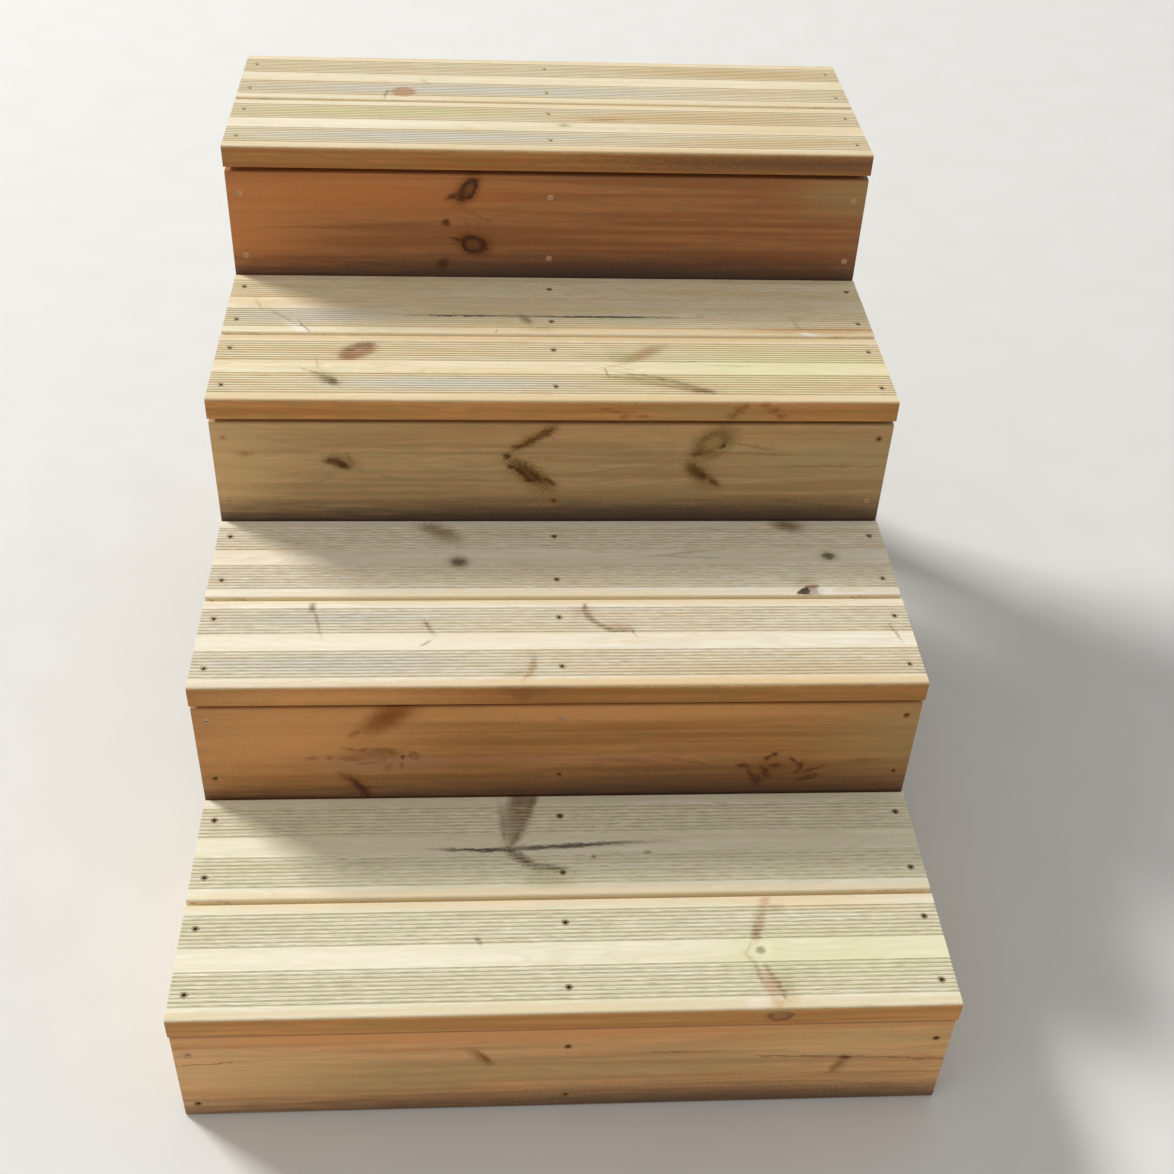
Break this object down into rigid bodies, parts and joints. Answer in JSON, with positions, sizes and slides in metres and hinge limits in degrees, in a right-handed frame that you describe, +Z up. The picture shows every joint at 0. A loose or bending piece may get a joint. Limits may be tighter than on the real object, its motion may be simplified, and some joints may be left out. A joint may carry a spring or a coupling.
{
  "type": "wooden deck stairs",
  "caption": "Free-standing timber stairs for a deck or terrace, with grooved board treads and closed risers on saw-tooth stringers, carried at the back by braced posts.",
  "frame": {"origin": "on the floor, under the middle of the stair's footprint", "axes": "+Y the way the stair climbs, +X to the right of a person climbing it, +Z up"},
  "size_m": [0.8, 1.174, 0.692],
  "materials": {
    "tread_boards": "pressure-treated pine, planed and grooved, pale yellow-green",
    "riser_boards": "pressure-treated pine, planed, honey brown",
    "stringers": "pressure-treated pine plank, sawn saw-tooth edge",
    "framing": "pressure-treated pine, planed, pale green-brown",
    "screws": "stainless countersunk deck screws, dulled"
  },
  "bodies": {
    "root": {"tread_1_front": "tread_boards", "tread_1_back": "tread_boards", "tread_2_front": "tread_boards", "tread_2_back": "tread_boards", "tread_3_front": "tread_boards", "tread_3_back": "tread_boards", "tread_4_front": "tread_boards", "tread_4_back": "tread_boards", "riser_1": "riser_boards", "riser_2": "riser_boards", "riser_3": "riser_boards", "riser_4": "riser_boards", "stringer_left": "stringers", "stringer_centre": "stringers", "stringer_right": "stringers", "rear_post_left": "framing", "rear_post_centre": "framing", "rear_post_right": "framing", "blocking_left": "framing", "blocking_right": "framing", "toe_plate": "framing", "rear_top_board": "riser_boards", "rear_foot_rail": "riser_boards", "rear_brace": "framing"}
  },
  "joints": []
}
